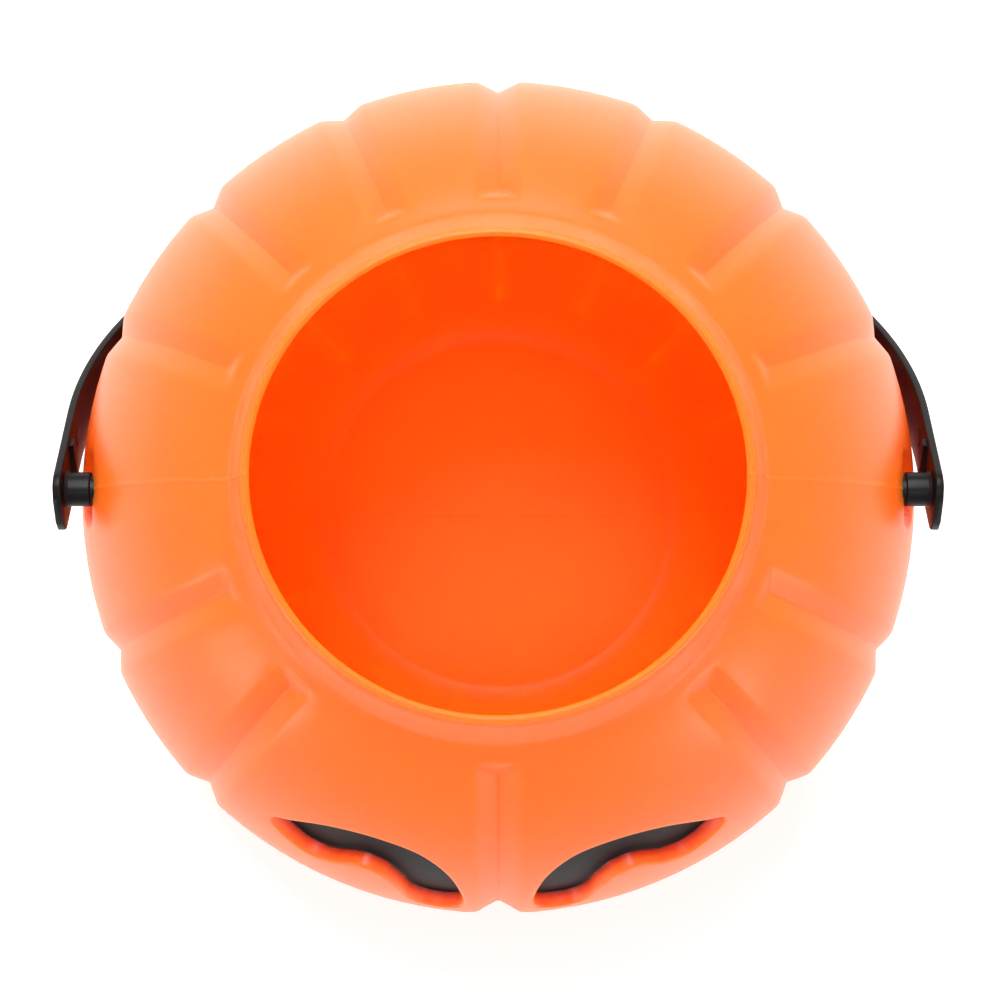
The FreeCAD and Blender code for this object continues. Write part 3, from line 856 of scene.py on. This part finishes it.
def ejector_tree():
    """Geometry Nodes tree that sets a shallow disc at every point, facing along the point's facing."""
    tree = bpy.data.node_groups.new("Ejector marks", "GeometryNodeTree")
    face = tree.interface
    face.new_socket("Geometry", in_out="INPUT", socket_type="NodeSocketGeometry")
    for name in ("Radius", "Height"):
        face.new_socket(name, in_out="INPUT", socket_type="NodeSocketFloat")
    face.new_socket("Finish", in_out="INPUT", socket_type="NodeSocketMaterial")
    face.new_socket("Geometry", in_out="OUTPUT", socket_type="NodeSocketGeometry")
    ports = add_node(tree, "NodeGroupInput").outputs
    disc = add_node(tree, "GeometryNodeMeshCylinder", {"Vertices": 20},
                    {"Radius": ports["Radius"], "Depth": ports["Height"]})
    facing = add_node(tree, "GeometryNodeInputNamedAttribute",
                      {"data_type": "FLOAT_VECTOR", "Name": "facing"})
    turned = add_node(tree, "FunctionNodeAlignRotationToVector", {"axis": "Z"},
                      {"Vector": facing.outputs[0]})
    marks = add_node(tree, "GeometryNodeInstanceOnPoints",
                     links={"Points": ports["Geometry"], "Instance": disc.outputs["Mesh"],
                            "Rotation": turned.outputs[0]})
    real = add_node(tree, "GeometryNodeRealizeInstances", links={"Geometry": marks.outputs[0]})
    coated = add_node(tree, "GeometryNodeSetMaterial",
                      links={"Geometry": real.outputs[0], "Material": ports["Finish"]})
    add_node(tree, "NodeGroupOutput", links={"Geometry": coated.outputs[0]})
    return tree


class TREATPAIL_OT_handle(bpy.types.Operator):
    """Strap handle with its snap studs and cross ribs"""
    bl_idname = "treat_pail.handle"
    bl_label = "Strap Handle"

    def execute(self, context):
        sizes = context.scene.treat_pail_handle
        black = kept_material("injection_moulded_polyethylene", moulded_black)
        strap = self.strap(sizes, black)
        parts = [strap, self.marks(sizes, black)]
        for side in (1.0, -1.0):
            parts.append(self.stud(sizes, side, black))
            parts.append(self.rib(sizes, side, black))
        turn = Matrix.Translation(STUD_AXIS) @ Matrix.Rotation(-sizes.drop, 4, "X")
        for part in parts:
            part.data.transform(turn)
        bpy.ops.object.select_all(action="DESELECT")
        for part in parts:
            part.select_set(True)
        context.view_layer.objects.active = strap
        bpy.ops.object.join()
        strap.name = "handle_strap_moulded"
        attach(strap, "handle")
        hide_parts("handle_strap")
        return {"FINISHED"}

    def marks(self, sizes, black):
        """Ejector-pin marks along the inner face, evenly spaced from one arm to the other."""
        places, facings = [], []
        quarter = math.pi / 2 * sizes.inside
        for reach in np.linspace(-quarter, quarter, 12):
            angle = math.pi / 2 + reach / sizes.inside
            out = Vector((math.cos(angle), math.sin(angle), 0.0))
            places.append(out * sizes.inside + Vector((0, sizes.arm, 0)))
            facings.append(-out)
        piece = new_mesh("marks", places, [], black)
        layer = piece.data.attributes.new("facing", "FLOAT_VECTOR", "POINT")
        layer.data.foreach_set("vector", [c for facing in facings for c in facing])
        return apply_tree(piece, ejector_tree(), {"Radius": 2.4 * MM, "Height": 0.3 * MM, "Finish": black})

    def strap(self, sizes, black):
        """The band: a rounded section swept along the arms and the bow, in its own plane."""
        middle = sizes.inside + sizes.thick / 2
        path = [(middle, s) for s in np.linspace(-sizes.end, sizes.arm, 26)]
        path += arc_points(0.0, sizes.arm, middle, 0.0, math.pi, 149)[:-1]
        path += [(-middle, s) for s in np.linspace(sizes.arm, -sizes.end, 26)]
        path = np.array(path)
        ahead = np.gradient(path, axis=0)
        ahead /= np.linalg.norm(ahead, axis=1)[:, None]
        out = np.stack([ahead[:, 1], -ahead[:, 0]], 1)
        edge = 0.45 * MM
        half_thick, half_width = sizes.thick / 2, sizes.width / 2
        corners = []
        for cx, cy, start in ((1, 1, 0), (-1, 1, 90), (-1, -1, 180), (1, -1, 270)):
            for k in range(5):
                angle = math.radians(start + 22.5 * k)
                corners.append((cx, cy, edge * math.cos(angle), edge * math.sin(angle)))
        points, faces = [], []
        n = len(corners)
        for i, (p, o) in enumerate(zip(path, out)):
            from_end = min(i, len(path) - 1 - i)
            gap = abs(path[from_end][1] + sizes.end) if from_end < 26 else 1.0
            pull = 0.0
            if gap < sizes.corner:
                pull = sizes.corner - math.sqrt(max(sizes.corner ** 2 - (sizes.corner - gap) ** 2, 0.0))
            for cx, cy, dx, dy in corners:
                across = cx * (half_thick - edge) + dx
                wide = cy * (half_width - edge - pull) + dy
                points.append((p[0] + o[0] * across, p[1] + o[1] * across, wide))
            if i:
                for k in range(n):
                    a, b = (i - 1) * n + k, (i - 1) * n + (k + 1) % n
                    faces.append((a, b, b + n, a + n))
        faces.append(tuple(range(n))[::-1])
        faces.append(tuple(range(len(points) - n, len(points))))
        piece = new_mesh("strap", points, faces, black)
        return turned_out(piece)

    def stud(self, sizes, side, black):
        """Snap stud: boss, neck in the wall's hole and tapered head, turned about the stud axis."""
        root = sizes.inside / MM
        face = 101.8
        head = 97.6
        section = rounded([(root + 0.4, 0), (root + 0.4, 4.9), (root - 0.9, 4.3), (face, 4.3), (face, 3.5),
                           (head, 3.5), (head, 4.7), (head - 0.8, 4.7), (head - 2.8, 2.7), (head - 2.8, 0)],
                          (0.0, 0.6, 0.35, 0.1, 0.1, 0.15, 0.4, 0.5), 4) * MM
        ring = 40
        points, faces = [], []
        for x, r in section[1:-1]:
            for k in range(ring):
                angle = 2 * math.pi * k / ring
                points.append((side * x, r * math.cos(angle), r * math.sin(angle)))
        rows = len(section) - 2
        for i in range(rows - 1):
            for k in range(ring):
                a, b = i * ring + k, i * ring + (k + 1) % ring
                faces.append((a, b, b + ring, a + ring))
        faces.append(tuple(range(ring)))
        faces.append(tuple(range((rows - 1) * ring, rows * ring))[::-1])
        return turned_out(new_mesh("stud", points, faces, black))

    def rib(self, sizes, side, black):
        """Low rounded cross rib on the strap's inner face."""
        x0 = sizes.inside + 0.4 * MM
        x1 = sizes.inside - 1.0 * MM
        low, high = 9.0 * MM, 12.4 * MM
        outline = rounded([(x0, low), (x1, low + 0.3 * MM), (x1, high - 0.3 * MM), (x0, high)],
                          (0.6 * MM, 0.6 * MM), 5)
        half = (sizes.width - 3.0 * MM) / 2
        points, faces = [], []
        n = len(outline)
        for z in np.linspace(-half, half, 8):
            for x, y in outline:
                points.append((side * x, y, z))
        for i in range(7):
            for k in range(n):
                a, b = i * n + k, i * n + (k + 1) % n
                faces.append((a, b, b + n, a + n))
        faces.append(tuple(range(n)))
        faces.append(tuple(range(7 * n, 8 * n))[::-1])
        return turned_out(new_mesh("rib", points, faces, black))


def turned_out(piece):
    """Turns every face of a closed piece outwards, and keeps its sharp edges crisp."""
    work = bmesh.new()
    work.from_mesh(piece.data)
    bmesh.ops.recalc_face_normals(work, faces=work.faces)
    for edge in work.edges:
        edge.smooth = edge.calc_face_angle(0.0) < math.radians(50)
    work.to_mesh(piece.data)
    work.free()
    return piece


class TREATPAIL_OT_stage(bpy.types.Operator):
    """White floor, soft studio light and the camera above the mouth"""
    bl_idname = "treat_pail.stage"
    bl_label = "Studio Stage"

    def execute(self, context):
        scene = context.scene
        stage = scene.treat_pail_stage
        finish = scene.treat_pail_finish
        scene.view_settings.view_transform = "Standard"
        half = 4.0
        floor = new_mesh("studio_floor_sheet", [(-half, -half, -0.0005), (half, -half, -0.0005),
                                                (half, half, -0.0005), (-half, half, -0.0005)],
                         [(0, 1, 2, 3)], plain_floor(finish))
        world = bpy.data.worlds.new("studio")
        world.use_nodes = True
        scene.world = world
        sky = world.node_tree.nodes["Background"]
        sky.inputs["Color"].default_value = (1.0, 1.0, 1.0, 1.0)
        sky.inputs["Strength"].default_value = 0.66
        self.lamp("back_softbox", (0.0, 1.0, 1.1), (0.0, 0.0, 0.1), 0.8, 16.0)
        self.lamp("top_softbox", (-0.1, 0.5, 1.5), (0.0, 0.0, 0.1), 0.4, 12.0)
        self.lamp("front_softbox", (0.1, -0.6, 1.4), (0.0, 0.0, 0.05), 0.4, 2.0)
        self.lamp("left_softbox", (-0.8, -0.55, 0.38), (0.0, 0.0, 0.12), 0.3, 2.0)
        self.lamp("right_softbox", (0.72, -0.66, 0.38), (0.0, 0.0, 0.12), 0.3, 2.0)
        snoot = bpy.data.lights.new("mouth_snoot", "SPOT")
        snoot.energy = 18.0
        snoot.spot_size = math.radians(5.0)
        snoot.spot_blend = 0.45
        snoot.shadow_soft_size = 0.05
        beam = bpy.data.objects.new("mouth_snoot", snoot)
        beam.location = (0.0, 0.0, 1.5)
        beam.visible_glossy = False
        scene.collection.objects.link(beam)
        glow = bpy.data.lights.new("wall_glow", "POINT")
        glow.energy = 0.2
        glow.color = (0.5, 0.85, 0.12)
        glow.shadow_soft_size = 0.02
        inner = bpy.data.objects.new("wall_glow", glow)
        inner.location = (0.0, 0.0, 0.11)
        inner.visible_glossy = False
        inner.visible_camera = False
        scene.collection.objects.link(inner)
        camera = bpy.data.objects.new("camera", bpy.data.cameras.new("camera"))
        scene.collection.objects.link(camera)
        camera.data.lens = stage.lens
        camera.data.sensor_width = 36.0
        rim = scene.treat_pail_shell.rim_height
        camera.location = (0.0007, -math.sin(stage.lean) * stage.camera_distance,
                           rim + math.cos(stage.lean) * stage.camera_distance)
        camera.rotation_euler = (stage.tilt, 0.0, 0.0)
        scene.camera = camera
        return {"FINISHED"}

    def lamp(self, name, place, aim, size, power):
        data = bpy.data.lights.new(name, "AREA")
        data.shape = "DISK"
        data.size = size
        data.energy = power
        lamp = bpy.data.objects.new(name, data)
        bpy.context.scene.collection.objects.link(lamp)
        lamp.location = place
        lamp.rotation_euler = (Vector(aim) - Vector(place)).to_track_quat("-Z", "Y").to_euler()


class TREATPAIL_PT_panel(bpy.types.Panel):
    """Lists the pail's pieces"""
    bl_idname = "TREATPAIL_PT_panel"
    bl_label = "Treat Pail"
    bl_space_type = "VIEW_3D"
    bl_region_type = "UI"
    bl_category = "Treat Pail"

    def draw(self, context):
        for operator in OPERATORS:
            self.layout.operator(operator.bl_idname)


GROUPS = (("treat_pail_shell", TreatPailShell), ("treat_pail_handle", TreatPailHandle),
          ("treat_pail_finish", TreatPailFinish), ("treat_pail_stage", TreatPailStage))
OPERATORS = (TREATPAIL_OT_shell, TREATPAIL_OT_handle, TREATPAIL_OT_stage)


def register():
    for name, group in GROUPS:
        bpy.utils.register_class(group)
        setattr(bpy.types.Scene, name, bpy.props.PointerProperty(type=group))
    for item in OPERATORS + (TREATPAIL_PT_panel,):
        bpy.utils.register_class(item)


def unregister():
    for item in reversed(OPERATORS + (TREATPAIL_PT_panel,)):
        bpy.utils.unregister_class(item)
    for name, group in reversed(GROUPS):
        delattr(bpy.types.Scene, name)
        bpy.utils.unregister_class(group)


def main():
    register()
    bpy.ops.treat_pail.shell()
    bpy.ops.treat_pail.handle()
    bpy.ops.treat_pail.stage()


if __name__ == "__main__":
    main()
